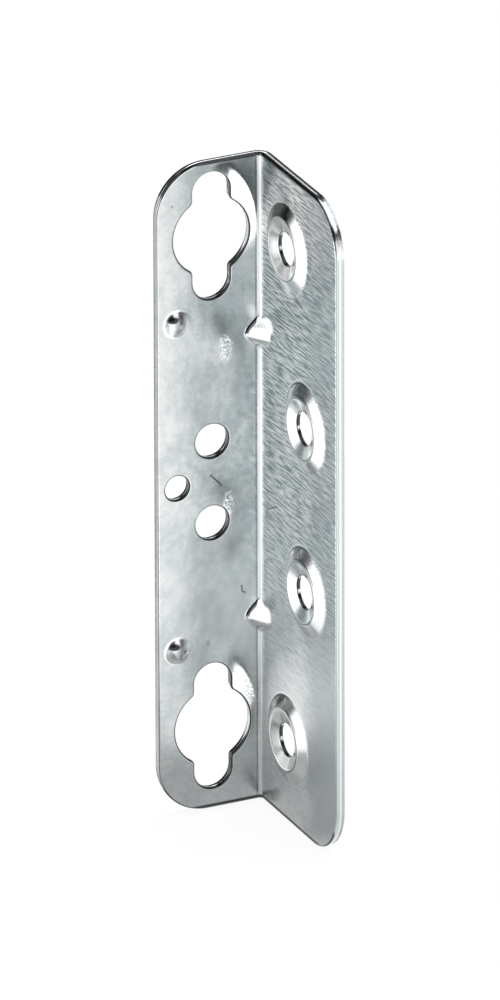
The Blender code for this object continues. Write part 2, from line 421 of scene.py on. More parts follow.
@dataclass
class Blank:
    """The flat sheet with its outline and holes, meshed finely where it is pressed or folded."""

    fold: Fold
    layout: Layout
    hook_width: float
    rail_width: float
    top: float
    bottom: float
    edge_step: float = 0.45 * MM
    front_roll: float = 0.32 * MM
    seat_roll: float = 0.20 * MM
    back_roll: float = 0.06 * MM
    roll_steps: int = 5
    lean: float = 0.62
    hole_step_share: float = 0.6
    key_step_share: float = 0.7
    neck_step_share: float = 0.5
    # Steps down the cut wall: shares of the lean and of the sheet, and the place among the bands.
    wall: tuple[Point, ...] = (
        (0.0, 0.76, Band.SHEARED.value), (0.0, 0.68, Band.SHEARED.value), (0.08, 0.64, 1.1),
        (0.5, 0.49, 1.5), (0.92, 0.34, 1.9), (1.0, 0.30, Band.TORN.value), (1.0, 0.16, Band.TORN.value),
    )
    back_steps: int = 3
    # First and last distance from the bend, and the number of columns.
    hook_columns_mm: tuple[float, float, int] = (0.25, 4.0, 14)
    rail_columns_mm: tuple[float, float, int] = (0.25, 5.5, 19)
    gusset_rows: int = 31
    gusset_margin: float = 0.8 * MM
    row_step: float = 1.1 * MM
    end_margin: float = 0.9 * MM
    field_step: float = 1.9 * MM
    field_row_share: float = 0.866
    band_gap: float = 0.6 * MM
    rim_gap: float = 0.22 * MM
    seat_points: int = 84
    seat_rings: int = 25
    seat_ring_start: float = 0.45 * MM
    seat_ring_end: float = 0.05 * MM
    seat_outer_rings_mm: tuple[float, float] = (0.3, 0.7)
    seat_gap: float = 0.2 * MM
    pip_points: int = 40
    # First and last radius as shares of the pip's own, and the number of rings.
    pip_ring_shares: tuple[float, float, int] = (0.15, 1.25, 12)
    pip_gap_share: float = 1.4
    merge: float = 1e-9

    def outline(self) -> Rim:
        """Draw the blank's outer edge, with rounded corners at the ends of both flanges.

        Returns:
            The edge, with a point at every column of the fold.
        """
        radius = self.layout.corner_radius
        left = self.fold.on_hook(self.hook_width) + radius
        right = self.fold.on_rail(self.rail_width) - radius
        low, high = self.bottom + radius, self.top - radius
        quarter = math.pi / 2
        corners = [
            arc(centre, radius, (turn - 1) * quarter, turn * quarter, self.edge_step)
            for turn, centre in enumerate([(right, low), (right, high), (left, high), (left, low)])
        ]
        columns = self.fold_columns()
        inner = columns[(columns > left) & (columns < right)]
        top = np.stack([inner[::-1], np.full(len(inner), self.top)], axis=1)
        bottom = np.stack([inner, np.full(len(inner), self.bottom)], axis=1)
        stretches = [corners[0], corners[1], top, corners[2], corners[3], bottom]
        points = []
        for stretch, following in zip(stretches, stretches[1:] + stretches[:1]):
            points += [stretch, line(stretch[-1], following[0], self.edge_step)]
        return Rim(np.concatenate(points), self.front_roll)

    def round_hole(self, x: float, y: float, diameter: float, roll: float) -> Rim:
        """A round hole with its centre, its diameter and the radius of its front edge."""
        step = self.edge_step * self.hole_step_share
        return Rim(arc((x, y), diameter / 2, 2 * math.pi, 0, step)[:-1], roll)

    def keyhole(self, level: float) -> Rim:
        """A round head with a slot above and below it.

        Args:
            level: the head's level.

        Returns:
            The keyhole's edge.
        """
        shape = self.layout
        head = shape.key_head / 2
        slot = shape.key_slot / 2
        neck = shape.key_neck
        neck_x = slot + neck
        neck_y = math.sqrt((head + neck) ** 2 - neck_x ** 2)
        turn = math.atan2(neck_y, neck_x)
        step = self.edge_step * self.key_step_share
        end_y = shape.key_length / 2 - slot
        head_arc = arc((0, 0), head, 0, turn, step)
        neck_arc = arc((neck_x, neck_y), neck, turn + math.pi, math.pi, step * self.neck_step_share)
        end_arc = arc((0, end_y), slot, 0, math.pi / 2, step)
        side = line(neck_arc[-1], end_arc[0], step)
        quarter = np.concatenate([head_arc, neck_arc[1:], side, end_arc])
        half = np.concatenate([quarter, quarter[-2::-1] * (-1, 1)])
        whole = np.concatenate([half, half[-2:0:-1] * (1, -1)])
        return Rim(whole[::-1] + (self.fold.on_hook(shape.key_row), level), self.front_roll)

    def seat_places(self) -> list[Place]:
        """Find the screw seats.

        Returns:
            Their centres, from the top down.
        """
        near = self.fold.on_rail(self.layout.near_seat_row)
        far = self.fold.on_rail(self.layout.far_seat_row)
        pitch = self.layout.pitch
        return [(near, 1.5 * pitch), (far, 0.5 * pitch), (far, -0.5 * pitch), (near, -1.5 * pitch)]

    def pip_places(self) -> list[Place]:
        """Centres of the pips."""
        row = self.fold.on_hook(self.layout.guide_row)
        return [(row, self.layout.pitch), (row, -self.layout.pitch)]

    def rims(self) -> list[Rim]:
        """Draw every cut edge.

        Returns:
            The outline first, then the holes.
        """
        shape = self.layout
        key = self.fold.on_hook(shape.key_row)
        guide = self.fold.on_hook(shape.guide_row)
        found = [self.outline()]
        found += [self.keyhole(level) for level in (1.5 * shape.pitch, -1.5 * shape.pitch)]
        for level in (shape.pitch / 4, -shape.pitch / 4):
            found.append(self.round_hole(key, level, shape.pin_hole, self.front_roll))
        found.append(self.round_hole(guide, 0.0, shape.guide_hole, self.front_roll))
        for x, y in self.seat_places():
            found.append(self.round_hole(x, y, shape.seat_hole, self.seat_roll))
        return found

    def fold_columns(self) -> np.ndarray:
        """Place the columns of points along the fold, close together in the bend.

        Returns:
            Their places across the blank.
        """
        bend = np.linspace(0, self.fold.bend_length, self.fold.bend_columns + 1)
        hook = -np.linspace(*self.hook_columns_mm)[::-1] * MM
        rail = self.fold.bend_length + np.linspace(*self.rail_columns_mm) * MM
        return np.concatenate([hook, bend, rail])

    def fold_levels(self) -> np.ndarray:
        """Place the rows of points along the fold, close together at the gussets.

        Returns:
            Their levels.
        """
        half = self.layout.gusset_length / 2 + self.gusset_margin
        level = self.layout.gusset_level
        fine = np.linspace(-half, half, self.gusset_rows)
        coarse = self.row_step
        below = np.arange(self.bottom + self.end_margin, -level - half - 0.5 * coarse, coarse)
        middle = np.arange(-level + half + coarse, level - half - 0.5 * coarse, coarse)
        above = np.arange(level + half + coarse, self.top - self.end_margin, coarse)
        return np.concatenate([below, fine - level, middle, fine + level, above])

    def rings(self, places: list[Place], radii: np.ndarray, count: int) -> list[np.ndarray]:
        """Rings of points round pressed forms.

        Args:
            places: the forms' centres.
            radii: the rings' radii.
            count: points in each ring.

        Returns:
            One closed array of points for each ring.
        """
        turns = np.linspace(0, 2 * math.pi, count, endpoint=False)
        circle = np.stack([np.cos(turns), np.sin(turns)], axis=1)
        return [circle * radius + place for place in places for radius in radii]

    def loose_points(self, rims: list[Rim], seat_reach: float) -> np.ndarray:
        """Spread the points that belong to no edge or ring: rows along the fold, a wide field elsewhere.

        Args:
            rims: the outline and the holes.
            seat_reach: how far the rings round a seat go.

        Returns:
            The points, clear of every edge and pressed form.
        """
        columns, levels = np.meshgrid(self.fold_columns(), self.fold_levels())
        band = np.stack([columns.ravel(), levels.ravel()], axis=1)
        step = self.field_step
        across = np.arange(self.fold.on_hook(self.hook_width), self.fold.on_rail(self.rail_width), step)
        rows = np.arange(self.bottom, self.top, step * self.field_row_share)
        field = np.array([(x + (i % 2) * step / 2, y) for i, y in enumerate(rows) for x in across])
        clear = self.band_gap
        beside = (field[:, 0] < band[:, 0].min() - clear) | (field[:, 0] > band[:, 0].max() + clear)
        loose = np.concatenate([band, field[beside]])
        loose = loose[rims[0].holds(loose)]
        for rim in rims:
            keep = ~rim.near(loose, rim.roll + rim.support + self.rim_gap)
            if rim is not rims[0]:
                keep &= ~rim.holds(loose)
            loose = loose[keep]
        pip_reach = self.pip_gap_share * self.layout.pip_width / 2
        for places, reach in ((self.seat_places(), seat_reach), (self.pip_places(), pip_reach)):
            for place in places:
                loose = loose[np.linalg.norm(loose - place, axis=1) > reach]
        return loose

    def triangulate(self, rims: list[Rim]) -> tuple[np.ndarray, list, list[np.ndarray]]:
        """Cover the sheet with triangles.

        Args:
            rims: the outline and the holes.

        Returns:
            The points, the triangles, and the point numbers of each rim's face edge.
        """
        foot = self.layout.seat_foot / 2
        hole = self.layout.seat_hole / 2
        pip = self.layout.pip_width / 2
        seat_radii = np.concatenate([
            np.linspace(hole + self.seat_ring_start, foot + self.seat_ring_end, self.seat_rings),
            foot + np.array(self.seat_outer_rings_mm) * MM,
        ])
        first, last, count = self.pip_ring_shares
        pip_radii = np.linspace(first * pip, last * pip, count)
        closed = [rim.inset(rim.roll) for rim in rims]
        closed += [rim.inset(rim.roll + rim.support) for rim in rims]
        closed += self.rings(self.seat_places(), seat_radii, self.seat_points)
        closed += self.rings(self.pip_places(), pip_radii, self.pip_points)
        points = np.concatenate(closed + [self.loose_points(rims, seat_radii[-1] + self.seat_gap)])
        edges, numbers, start = [], [], 0
        for ring in closed:
            ids = np.arange(start, start + len(ring))
            edges += list(zip(ids.tolist(), np.roll(ids, -1).tolist()))
            numbers.append(ids)
            start += len(ring)
        found = delaunay_2d_cdt([Vector(p) for p in points], edges, [], 0, self.merge, True)
        places = np.array([tuple(v) for v in found[0]])
        place_of = {source: i for i, sources in enumerate(found[3]) for source in sources}
        triangles = np.array([list(t) for t in found[2]])
        middles = places[triangles].mean(axis=1)
        face_edges = [Rim(rim.inset(rim.roll), 0.0) for rim in rims]
        keep = face_edges[0].holds(middles)
        for rim in face_edges[1:]:
            keep &= ~rim.holds(middles)
        rim_numbers = [np.array([place_of[i] for i in ids.tolist()]) for ids in numbers[:len(rims)]]
        return places, triangles[keep].tolist(), rim_numbers

    def wall_profile(self, roll: float) -> list[Point]:
        """Draw the cut edge from the inner face to the outer one: rolled over, sheared smooth, then torn.

        Args:
            roll: radius of the front edge.

        Returns:
            Inset, height in the sheet and place among the bands, for each step.
        """
        sheet = self.fold.sheet
        back = self.back_roll
        lean = self.lean * roll
        quarter = math.pi / 2
        front = [(roll * (1 - math.sin(t)), sheet - roll * (1 - math.cos(t)), t / quarter)
                 for t in np.linspace(0, quarter, self.roll_steps + 1)[1:]]
        wall = [(lean * share, sheet * height, place) for share, height, place in self.wall]
        rear = [(lean + back * (1 - math.cos(t)), back * (1 - math.sin(t)), Band.TORN.value)
                for t in np.linspace(0, quarter, self.back_steps + 1)]
        return front + wall + rear

    def build(self, name: str) -> bpy.types.Object:
        """Make the flat blank as a closed shell.

        Args:
            name: the object's name.

        Returns:
            The blank, with x across it, y up and z from its outer face to its inner one.
        """
        rims = self.rims()
        places, triangles, rim_numbers = self.triangulate(rims)
        count = len(places)
        inner = np.column_stack([places, np.full(count, self.fold.sheet)])
        outer = np.column_stack([places, np.zeros(count)])
        vertices = [inner, outer]
        cut = [np.full(2 * count, Band.FACE.value)]
        faces = [tuple(t) for t in triangles]
        faces += [tuple(count + i for i in reversed(t)) for t in triangles]
        total = 2 * count
        for rim, numbers in zip(rims, rim_numbers):
            above = numbers
            size = len(numbers)
            for inset, height, share in self.wall_profile(rim.roll):
                ring = np.column_stack([rim.inset(inset), np.full(size, height)])
                vertices.append(ring)
                cut.append(np.full(size, share))
                below = np.arange(total, total + size)
                faces += self.belt(above, below)
                above = below
                total += size
            faces += self.belt(above, numbers + count)
        mesh = bpy.data.meshes.new(name)
        mesh.from_pydata(np.concatenate(vertices).tolist(), [], faces)
        share = mesh.attributes.new(CUT_ATTRIBUTE, "FLOAT", "POINT")
        share.data.foreach_set("value", np.concatenate(cut).astype(np.float32))
        mesh.shade_smooth()
        return new_object(name, mesh)

    def belt(self, above: np.ndarray, below: np.ndarray) -> list[tuple[int, int, int, int]]:
        """Four-sided faces from a ring of points to the one nearer the outer face, looking outwards."""
        corners = (above, below, np.roll(below, -1), np.roll(above, -1))
        return list(zip(*(corner.tolist() for corner in corners)))


@dataclass(frozen=True)
class Press:
    """Sizes of the pressed forms, and the tree that presses and folds the blank."""

    seat_rim: float = 11.8 * MM
    seat_mouth: float = 11.1 * MM
    seat_rise: float = 1.15 * MM
    seat_hole_rise: float = 0.24 * MM
    seat_land: float = 0.7 * MM
    seat_wall: float = 1.3 * MM
    seat_softness: float = 0.35 * MM
    pip_rise: float = 0.6 * MM
    pip_wall: float = 1.5 * MM
    gusset_on_hook: float = 3.0 * MM
    gusset_on_rail: float = 4.4 * MM
    gusset_rounding: float = 0.5
    gusset_softness: float = 0.45 * MM
    rim_share: float = 0.4
    mouth_share: float = 0.3
    foot_share: float = 0.35
    pip_foot_share: float = 0.25
    pip_back_share: float = 0.15

    def sizes(self, fold: Fold, layout: Layout, fold_y: float) -> dict[str, float]:
        """Every named input of the tree.

        Args:
            fold: the sheet and its fold.
            layout: the places of the forms.
            fold_y: world y of the hook flange's outer face.

        Returns:
            The inputs by name.
        """
        own = {name.replace("_", " ").title(): number for name, number in asdict(self).items()}
        return {
            **own,
            "Sheet": fold.sheet,
            "Bend Outside": fold.bend_outside,
            "Bend Length": fold.bend_length,
            "Fold Y": fold_y,
            "Near Seat": fold.on_rail(layout.near_seat_row),
            "Near Seat Level": 1.5 * layout.pitch,
            "Far Seat": fold.on_rail(layout.far_seat_row),
            "Far Seat Level": 0.5 * layout.pitch,
            "Seat Foot": layout.seat_foot / 2,
            "Seat Rim": self.seat_rim / 2,
            "Seat Mouth": self.seat_mouth / 2,
            "Seat Hole": layout.seat_hole / 2,
            "Pip": fold.on_hook(layout.guide_row),
            "Pip Level": layout.pitch,
            "Pip Radius": layout.pip_width / 2,
            "Gusset Level": layout.gusset_level,
            "Gusset Half": layout.gusset_length / 2,
        }

    def seat_heights(self, size: dict[str, Value], radius: Value) -> tuple[Value, Value]:
        """How far the faces move at a screw seat.

        Args:
            size: the tree's inputs.
            radius: distance from the seat's centre.

        Returns:
            The rise of the inner face and of the outer face.
        """
        soft = size["Seat Softness"]
        flank = (size["Seat Foot"] - radius) * size["Seat Rise"] / (size["Seat Foot"] - size["Seat Rim"])
        climb = size["Seat Rise"] - size["Seat Hole Rise"]
        slope = climb / (size["Seat Mouth"] - size["Seat Hole"])
        cone = size["Seat Hole Rise"] + (radius - size["Seat Hole"]) * slope
        crown = flank.soft_low(size["Seat Rise"], soft * size["Rim Share"])
        inner = crown.soft_low(cone, soft * size["Mouth Share"]).soft_high(0.0, soft * size["Foot Share"])
        level = size["Sheet"] + size["Seat Hole Rise"] - size["Seat Land"]
        floor = size["Seat Rim"] - size["Seat Wall"] * 0.5
        mouth = size["Seat Foot"] - size["Seat Wall"]
        wall = (mouth - radius) * level / (mouth - floor)
        outer = wall.soft_low(level, soft * 2).soft_high(0.0, soft)
        return inner, outer

    def pip_heights(self, size: dict[str, Value], radius: Value) -> tuple[Value, Value]:
        """How far the faces move at a pip.

        Args:
            size: the tree's inputs.
            radius: distance from the pip's centre.

        Returns:
            The rise of the inner face and of the outer face.
        """
        share = radius / size["Pip Radius"]
        crown = size["Pip Rise"] * (1 - share * share)
        inner = crown.soft_high(0.0, size["Pip Rise"] * size["Pip Foot Share"])
        depth = size["Sheet"] + size["Pip Rise"] - size["Pip Wall"]
        back_share = radius / (size["Pip Radius"] - size["Pip Wall"] * 0.2)
        outer = (depth * (1 - back_share * back_share)).soft_high(0.0, depth * size["Pip Back Share"])
        return inner, outer

    def gusset_shift(self, size: dict[str, Value], fold: dict[str, Value], level: Value) -> Value:
        """How far the gussets push the sheet into the angle, along both axes.

        Args:
            size: the tree's inputs.
            fold: the place of the inner face as x and y.
            level: height above the middle of the pattern.

        Returns:
            The shift along -x and along -y.
        """
        share = (abs(level) - size["Gusset Level"]) / size["Gusset Half"]
        rounding = size["Gusset Rounding"]
        crest = (1 + rounding * rounding).root()
        depth = (crest - (share * share + rounding * rounding).root()) / (crest - rounding)
        from_rail = 0 - size["Sheet"] - fold["x"]
        from_hook = size["Fold Y"] - size["Sheet"] - fold["y"]
        on_hook = size["Gusset On Hook"]
        on_rail = size["Gusset On Rail"]
        room = depth - from_rail / on_hook - from_hook / on_rail
        push = room / (1 / on_hook + 1 / on_rail)
        return push.soft_high(0.0, size["Gusset Softness"])

    def tree(self, sizes: dict[str, float], material: bpy.types.Material) -> bpy.types.NodeTree:
        """Build the tree that presses and folds the blank.

        Args:
            sizes: the inputs by name.
            material: the finish of the whole sheet.

        Returns:
            The geometry tree.
        """
        tree = bpy.data.node_groups.new("press_and_fold", "GeometryNodeTree")
        graph = Graph(tree)
        tree.interface.new_socket("Geometry", in_out="INPUT", socket_type="NodeSocketGeometry")
        for name, number in sizes.items():
            socket = tree.interface.new_socket(name, in_out="INPUT", socket_type="NodeSocketFloat")
            socket.default_value = number
        tree.interface.new_socket("Geometry", in_out="OUTPUT", socket_type="NodeSocketGeometry")
        given = graph.node("NodeGroupInput")
        size = {name: Value(graph, given.outputs[name]) for name in sizes}
        place = graph.node("GeometryNodeInputPosition").outputs[0]
        across, level, height = graph.split(place)
        inner, outer = self.raised(size, across, abs(level))
        share = height / size["Sheet"]
        lifted = height + outer + (inner - outer) * share
        front = self.folded(size, across, size["Sheet"])
        push = self.gusset_shift(size, front, level)
        spot = self.folded(size, across, lifted)
        target = graph.node("ShaderNodeCombineXYZ", {},
                            {0: spot["x"] - push, 1: spot["y"] - push, 2: level})
        geometry = given.outputs["Geometry"]
        for kind, settings, inputs in (
            ("StoreNamedAttribute", {"data_type": "FLOAT_VECTOR"},
             {"Name": BLANK_ATTRIBUTE, "Value": place}),
            ("StoreNamedAttribute", {"data_type": "FLOAT"},
             {"Name": RAISED_ATTRIBUTE, "Value": (inner + push) / MM}),
            ("SetPosition", {}, {"Position": target.outputs[0]}),
            ("RealizeInstances", {}, {}),
            ("SetMaterial", {}, {"Material": material}),
        ):
            node = graph.node("GeometryNode" + kind, settings, {"Geometry": geometry, **inputs})
            geometry = node.outputs[0]
        graph.node("NodeGroupOutput", {}, {"Geometry": geometry})
        return tree

    def raised(self, size: dict[str, Value], across: Value, level: Value) -> tuple[Value, Value]:
        """How far the faces move at the seats and pips.

        Args:
            size: the tree's inputs.
            across: place across the blank.
            level: distance above or below the middle of the pattern.

        Returns:
            The rise of the inner face and of the outer face.
        """
        near = self.distance(across, level, size["Near Seat"], size["Near Seat Level"])
        far = self.distance(across, level, size["Far Seat"], size["Far Seat Level"])
        seat_inner, seat_outer = self.seat_heights(size, near.low(far))
        pip = self.distance(across, level, size["Pip"], size["Pip Level"])
        pip_inner, pip_outer = self.pip_heights(size, pip)
        return seat_inner + pip_inner, seat_outer + pip_outer

    def distance(self, x: Value, y: Value, centre_x: Value, centre_y: Value) -> Value:
        """Distance in the plane of the blank."""
        return ((x - centre_x) * (x - centre_x) + (y - centre_y) * (y - centre_y)).root()

    def folded(self, size: dict[str, Value], across: Value, height: Value) -> dict[str, Value]:
        """Where a place of the blank comes to lie when the sheet is folded.

        Args:
            size: the tree's inputs.
            across: place across the blank.
            height: height in the sheet above its outer face.

        Returns:
            World x and y.
        """
        angle = (across / size["Bend Length"]).high(0.0).low(1.0) * (math.pi / 2)
        on_hook = across.low(0.0)
        on_rail = (across - size["Bend Length"]).high(0.0)
        radius = size["Bend Outside"] - height
        x = on_hook - size["Bend Outside"] + radius * angle.sine()
        y = size["Fold Y"] - size["Bend Outside"] + radius * angle.cosine() - on_rail
        return {"x": x, "y": y}

    def run(self, blank: bpy.types.Object, sizes: dict[str, float], material: bpy.types.Material,
            name: str) -> bpy.types.Object:
        """Press and fold the blank.

        Args:
            blank: the flat shell.
            sizes: the tree's inputs.
            material: the finish of the whole sheet.
            name: the new object's name.

        Returns:
            The bracket as a plain mesh.
        """
        tree = self.tree(sizes, material)
        step = blank.modifiers.new("press_and_fold", "NODES")
        step.node_group = tree
        for socket in tree.interface.items_tree:
            if socket.in_out == "INPUT" and socket.name in sizes:
                step[socket.identifier] = sizes[socket.name]
        evaluated = blank.evaluated_get(bpy.context.evaluated_depsgraph_get())
        mesh = bpy.data.meshes.new_from_object(evaluated)
        mesh.name = name
        flat = blank.data
        bpy.data.objects.remove(blank, do_unlink=True)
        bpy.data.meshes.remove(flat)
        return new_object(name, mesh)


@dataclass(frozen=True)
class Noise:
    """A noise that follows the sheet, with its features per metre and its octaves."""

    scale: float
    detail: float
    roughness: float

    def at(self, graph: Graph, place: Any) -> Value:
        """The noise at a place."""
        return graph.noise(place, self.scale, self.detail, self.roughness)


@dataclass(frozen=True)
class Spot:
    """What the finish reads at one place of the sheet: where it lies, and the noises there."""

    graph: Graph
    across: Value
    level: Value
    depth: Value
    cut: Value
    raised: Value
    cloud: Value
    blotch: Value
    grain: Value
    waves: Value
    speckle: Value


@dataclass(frozen=True)
class Zones(Spot):
    """A place of the sheet with its share in each soft-edged region, from 0 to 1."""

    on_rail: Value
    # The rail flange's outer half, which gets painted shade.
    shaded_outer_rail: Value
    hook_side: Value
    rail_side: Value
    flat: Value
    face: Value
    pressed: Value
    unpressed: Value
    torn: Value
    streak: Value
    streaked: Value
    # Painted glints: pale speckles that stand for a seat mirrored in the hook flange.
    glint: Value
    # Painted glare beside the keyholes.
    glare: Value
    # Painted highlight beside each gusset on the rail flange.
    blob: Value
    # The painted highlight along the bend, which also roughens it.
    bend: Value


@dataclass(frozen=True)
class Scar:
    """A short dark scratch on one flange, from one place of the blank to another."""

    start: Place
    end: Place
    width: float = 0.22 * MM

    def mask(self, spot: Spot) -> Value:
        """Tell how far a place belongs to the scratch.

        Args:
            spot: the place.

        Returns:
            A value from 0 to 1.
        """
        run_x = self.end[0] - self.start[0]
        run_y = self.end[1] - self.start[1]
        length = run_x * run_x + run_y * run_y
        from_x = spot.across - self.start[0]
        from_y = spot.level - self.start[1]
        share = ((from_x * run_x + from_y * run_y) / length).high(0.0).low(1.0)
        off_x = from_x - share * run_x
        off_y = from_y - share * run_y
        return (off_x * off_x + off_y * off_y).root().rise(self.width, 0.3 * self.width)


@dataclass(frozen=True)
class Patch:
    """A soft-edged oval on the blank."""

    centre: Place
    half_width: float
    half_height: float
    strength: float = 1.0

    def mask(self, spot: Spot) -> Value:
        """Tell how far a place belongs to the oval.

        Args:
            spot: the place.

        Returns:
            A value from 0 to the oval's strength.
        """
        x = (spot.across - self.centre[0]) / self.half_width
        y = (spot.level - self.centre[1]) / self.half_height
        return (x * x + y * y).rise(1.0, 0.25) * self.strength


class Mark(Enum):
    """The kinds of oval marks on the inner face; the smudges are dirt, the others are painted light and
    shade.
    """

    # A painted reflection: pale speckles where a seat's bright flank is mirrored in the hook flange.
    GLINT = "bright scuff on the hook flange"
    # A painted highlight beside each gusset on the rail flange.
    BLOB = "bright place where a gusset meets the rail flange"
    GLARE_CORE = "middle of the glare beside the lower keyhole"
    SHADED = "shaded top of the rail flange"
    SMUDGE = "grey smudge on the hook flange"
    # Painted shade: the grey floor of each pip and the dark wedge on its upper side.
    PIP = "grey floor of a pip and the dark wedge in it"


@dataclass(frozen=True)
class Strengths:
    """How strongly each mark darkens or brightens the plating, from 0 to 1."""

    # Painted shade along the rolled edges, both ends of the sheet and the hook flange's edge; the bore
    # strength darkens the walls of the holes.
    rolled_edge: float = 0.97
    sheet_end: float = 0.95
    bore: float = 0.95
    hook_edge: float = 0.42
    # Marks on the sheet; the smudge strength also caps the painted shade at the lower end of the fold.
    scar: float = 0.75
    smudge: float = 0.8
    # Painted shade at the start of the bend, over the rail flange's outer half, beside the gussets and
    # round the seats, up to the dark line in the seat holes' walls; the seats' bright ring is a painted
    # highlight.
    crease: float = 0.35
    outer_rail_shade: float = 0.13
    gusset: float = 0.93
    seat_rim: float = 0.5
    seat_foot: float = 0.9
    seat_flank: float = 0.5
    seat_hollow: float = 0.8
    seat_highlight: float = 0.9
    slit: float = 0.97
    # Paling of the pressed forms, and the painted glints.
    pressed: float = 0.6
    glint: float = 0.6


@dataclass(frozen=True)
class ZincPlate:
    """Bright zinc plating over rolled sheet steel, lightly streaked and scuffed, with painted highlights,
    painted reflections and painted shade.
    """

    fold: Fold
    layout: Layout
    strengths: Strengths = Strengths()
    pale: Colour = (0.80, 0.82, 0.82, 1.0)
    cool: Colour = (0.58, 0.625, 0.64, 1.0)
    # The dark colour serves the scratches, smudges and torn band, and also the painted shade.
    dark: Colour = (0.035, 0.04, 0.042, 1.0)
    # The bright colour serves the leaning cut walls, streak ridges and pressed forms, and also the
    # painted highlights and reflections.
    bright: Colour = (0.93, 0.94, 0.94, 1.0)
    furrow: Colour = (0.30, 0.35, 0.37, 1.0)
    flat_roughness: float = 0.22
    pressed_roughness: float = 0.16
    torn_roughness: float = 0.26
    cloud_roughness: float = 0.1
    rail_roughness: float = 0.03
    low_rail_roughness: float = 0.10
    bend_roughness: float = 0.16
    wall_polish: float = 0.07
    clouds: Noise = Noise(150.0, 4.0, 0.62)
    blotches: Noise = Noise(620.0, 3.0, 0.6)
    grains: Noise = Noise(3600.0, 2.0, 0.6)
    waves: Noise = Noise(60.0, 1.0, 0.4)
    speckles: Noise = Noise(2300.0, 2.0, 0.6)
    streak_length: float = 3.9 * MM
    streak_width: float = 0.36 * MM
    streak_bump: float = 0.07
    grain_bump: float = 0.004
    torn_bump: float = 0.02
    blotch_bump: float = 0.014
    wave_bump: float = 0.04
    glare_tilt: float = -0.30
    blob_tilt: float = -0.42

    def hook(self, row: float, level: float) -> Place:
        """Blank place of a row and level on the hook flange, given in millimetres."""
        return self.fold.on_hook(row * MM), level * MM

    def rail(self, row: float, level: float) -> Place:
        """Blank place of a row and level on the rail flange, given in millimetres."""
        return self.fold.on_rail(row * MM), level * MM

    def build(self, shape: Blank) -> bpy.types.Material:
        """Build the material.

        Args:
            shape: the blank, whose edges are marked.

        Returns:
            The finish as a node material.
        """
        material, graph = new_material("zinc_plated_sheet")
        blank = graph.node("ShaderNodeAttribute", {"attribute_name": BLANK_ATTRIBUTE}).outputs["Vector"]
        spot = Spot(
            graph, *graph.split(blank), graph.attribute(CUT_ATTRIBUTE), graph.attribute(RAISED_ATTRIBUTE),
            cloud=self.clouds.at(graph, blank), blotch=self.blotches.at(graph, blank),
            grain=self.grains.at(graph, blank), waves=self.waves.at(graph, blank),
            speckle=self.speckles.at(graph, blank).rise(0.30, 0.78),
        )
        zones = self.zones(spot, shape)
        shader = graph.node("ShaderNodeBsdfPrincipled", {}, {
            "Base Color": self.colour(zones, shape), "Metallic": 1.0,
            "Roughness": self.roughness(zones), "Normal": self.normal(zones),
        })
        graph.node("ShaderNodeOutputMaterial", {}, {"Surface": shader.outputs[0]})
        return material

    def zones(self, spot: Spot, shape: Blank) -> Zones:
        """Mark out the regions of the sheet.

        Args:
            spot: the place.
            shape: the blank, whose edges are marked.

        Returns:
            The masks.
        """
        across, level, cut = spot.across, spot.level, spot.cut
        hook_edge = self.fold.on_hook(shape.hook_width)
        rail_edge = self.fold.on_rail(shape.rail_width)
        on_rail = across.rise_mm(1.6, 3.2)
        # The rail flange's outer half, darkened below by painted shade.
        shaded_outer_rail = across.rise(self.fold.on_rail(17.0 * MM), self.fold.on_rail(27.0 * MM))
        flat = cut.rise(0.5, 0.05)
        face = flat * spot.depth.rise(0.2 * self.fold.sheet, 0.5 * self.fold.sheet)
        pressed = spot.raised.rise(0.06, 0.2) * flat
        unpressed = 1 - pressed
        fading = 0.15 + level.rise_mm(-42.0, 4.0) * 0.85
        # Painted highlight along the inner face of the bend, made stronger towards the top below.
        bend = across.rise_mm(-0.1, 0.25) * across.rise_mm(2.6, 2.1) * unpressed * face
        return Zones(
            **vars(spot),
            on_rail=on_rail,
            shaded_outer_rail=shaded_outer_rail,
            hook_side=across.rise(hook_edge + 1.4 * MM, hook_edge + 0.7 * MM),
            rail_side=across.rise(rail_edge - 1.4 * MM, rail_edge - 0.7 * MM),
            flat=flat,
            face=face,
            pressed=pressed,
            unpressed=unpressed,
            torn=cut.rise(1.8, 2.0),
            streak=self.streaks(spot, 1.0).rise(0.3, 0.7),
            streaked=on_rail * unpressed * flat * fading * (1 - shaded_outer_rail * 0.4),
            # Painted glints, where a seat is mirrored in the hook flange.
            glint=self.marks(spot, Mark.GLINT) * spot.speckle * face,
            # Painted highlight: the glare beside the keyholes.
            glare=self.glare(spot) * face,
            # Painted highlight beside each gusset, paled and tilted.
            blob=self.marks(spot, Mark.BLOB) * face * unpressed,
            bend=bend * (0.35 + level.rise_mm(-40.0, -15.0) * 0.65),
        )

    def colour(self, zones: Zones, shape: Blank) -> bpy.types.NodeSocket:
        """Colour the plating, with its clouding, streaks, bright places and dark marks, many of them
        painted highlights and painted shade.

        Args:
            zones: the place and its regions.
            shape: the blank, whose edges are marked.

        Returns:
            The colour.
        """
        graph, cut, streak = zones.graph, zones.cut, zones.streak
        mottle = zones.cloud * 0.5 + zones.blotch * 0.3 + zones.grain * 0.2
        fine = (self.streaks(zones, 0.5) - 0.5) * 0.8 * zones.streaked
        # Painted light and shade: the rail flange is made paler than the hook flange, and its outer half
        # darker.
        shade = mottle.rise(0.34, 0.66) + fine + zones.on_rail * 0.3 - zones.shaded_outer_rail * 1.15
        colour = graph.mix_colour(shade.high(0.0).low(1.0), self.cool, self.pale)
        colour = graph.mix_colour(streak.rise(0.52, 0.15) * zones.streaked, colour, self.furrow)
        ridge = (streak.rise(0.5, 0.8) * zones.streaked).low(1.0)
        leaning = cut.rise(1.05, 1.3) * cut.rise(1.98, 1.85)
        # Painted shade and highlights round the screw seats.
        seat_shade, seat_highlight, slit = self.seat_light_and_shade(zones)
